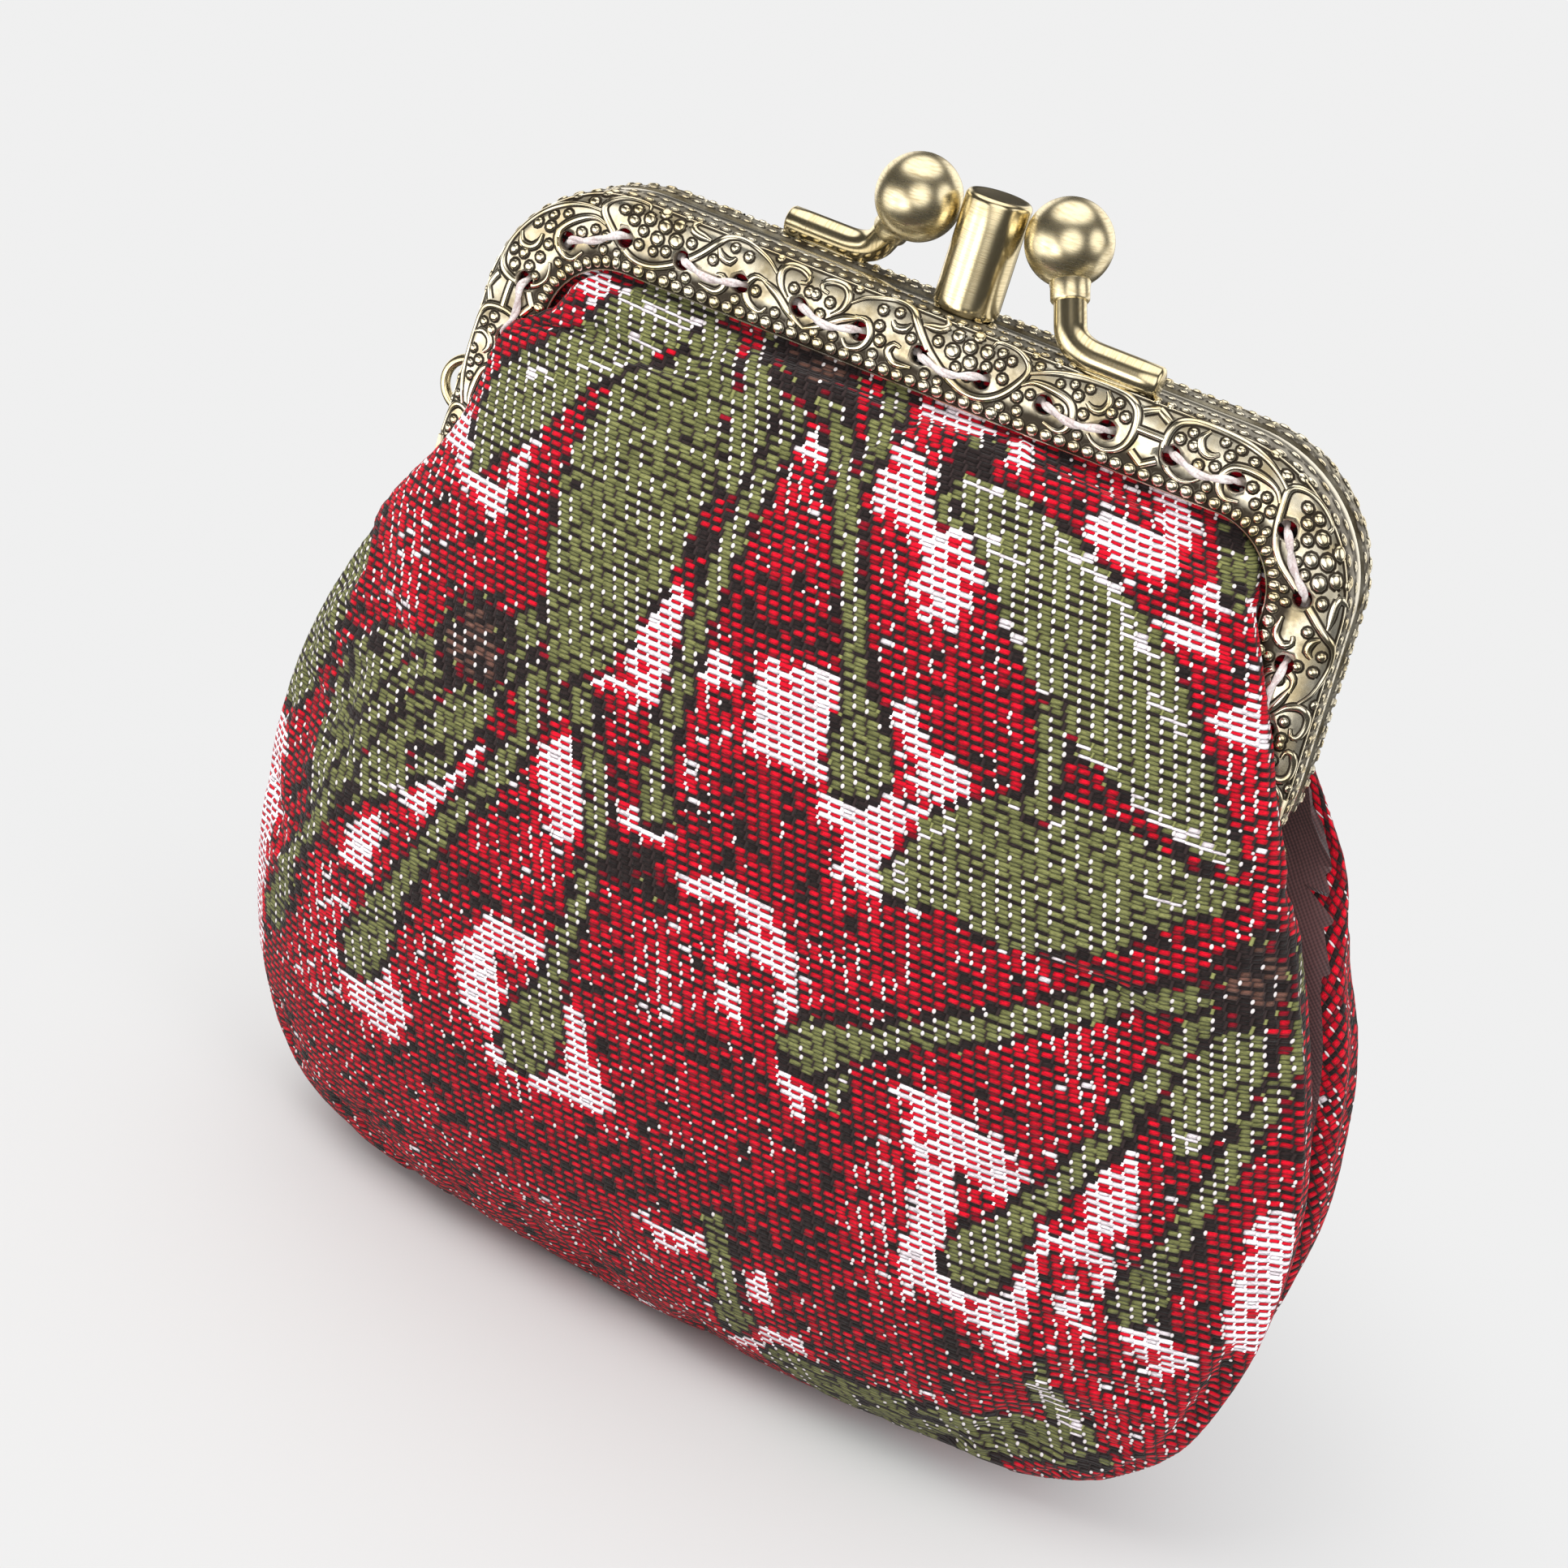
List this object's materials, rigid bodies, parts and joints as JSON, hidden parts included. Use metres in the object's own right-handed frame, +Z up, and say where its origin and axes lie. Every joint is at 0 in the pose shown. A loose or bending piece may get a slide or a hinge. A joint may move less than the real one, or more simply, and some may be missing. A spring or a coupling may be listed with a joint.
{
  "type": "coin purse",
  "caption": "Soft fabric coin purse with two pockets in an antique brass sew-in frame; the front and back frames swing open on side rivets and snap shut on a centre post with ball clasps.",
  "frame": {"origin": "middle of the base, where the two pockets' flat bottoms stand", "axes": "+Z up, +X to the right of somebody looking at the front, the front faces -Y"},
  "size_m": [0.11, 0.0364, 0.1167],
  "materials": {
    "antique_brass": "embossed antique brass, dark in the hollows and rubbed bright on the raised work",
    "plain_brass": "smooth brushed antique brass",
    "tapestry": "jacquard woven cloth with cherries, leaves and stems on a dark ground",
    "lining": "plain dark cotton",
    "thread": "two-ply cream sewing thread"
  },
  "bodies": {
    "bag": {"centre_frame": "plain_brass", "clasp_post": "plain_brass", "rivet_left": "antique_brass", "rivet_right": "antique_brass", "chain_loop": "plain_brass", "divider": "lining", "front_pocket": "tapestry", "back_pocket": "tapestry", "front_lining": "lining", "back_lining": "lining"},
    "front_jaw": {"front_frame": "antique_brass", "front_clasp_arm": "plain_brass", "front_clasp_ball": "plain_brass", "front_stitching": "thread", "front_panel": "tapestry"},
    "back_jaw": {"back_frame": "antique_brass", "back_clasp_arm": "plain_brass", "back_clasp_ball": "plain_brass", "back_stitching": "thread", "back_panel": "tapestry"}
  },
  "joints": [
    {"name": "front_opening", "type": "hinge", "parent": "bag", "child": "front_jaw", "pos_m": [0, 0, 0.068], "axis": [1, 0, 0], "range_deg": [0, 65], "deforming": ["front_panel"]},
    {"name": "back_opening", "type": "hinge", "parent": "bag", "child": "back_jaw", "pos_m": [0, 0, 0.068], "axis": [-1, 0, 0], "range_deg": [0, 65], "deforming": ["back_panel"]}
  ]
}
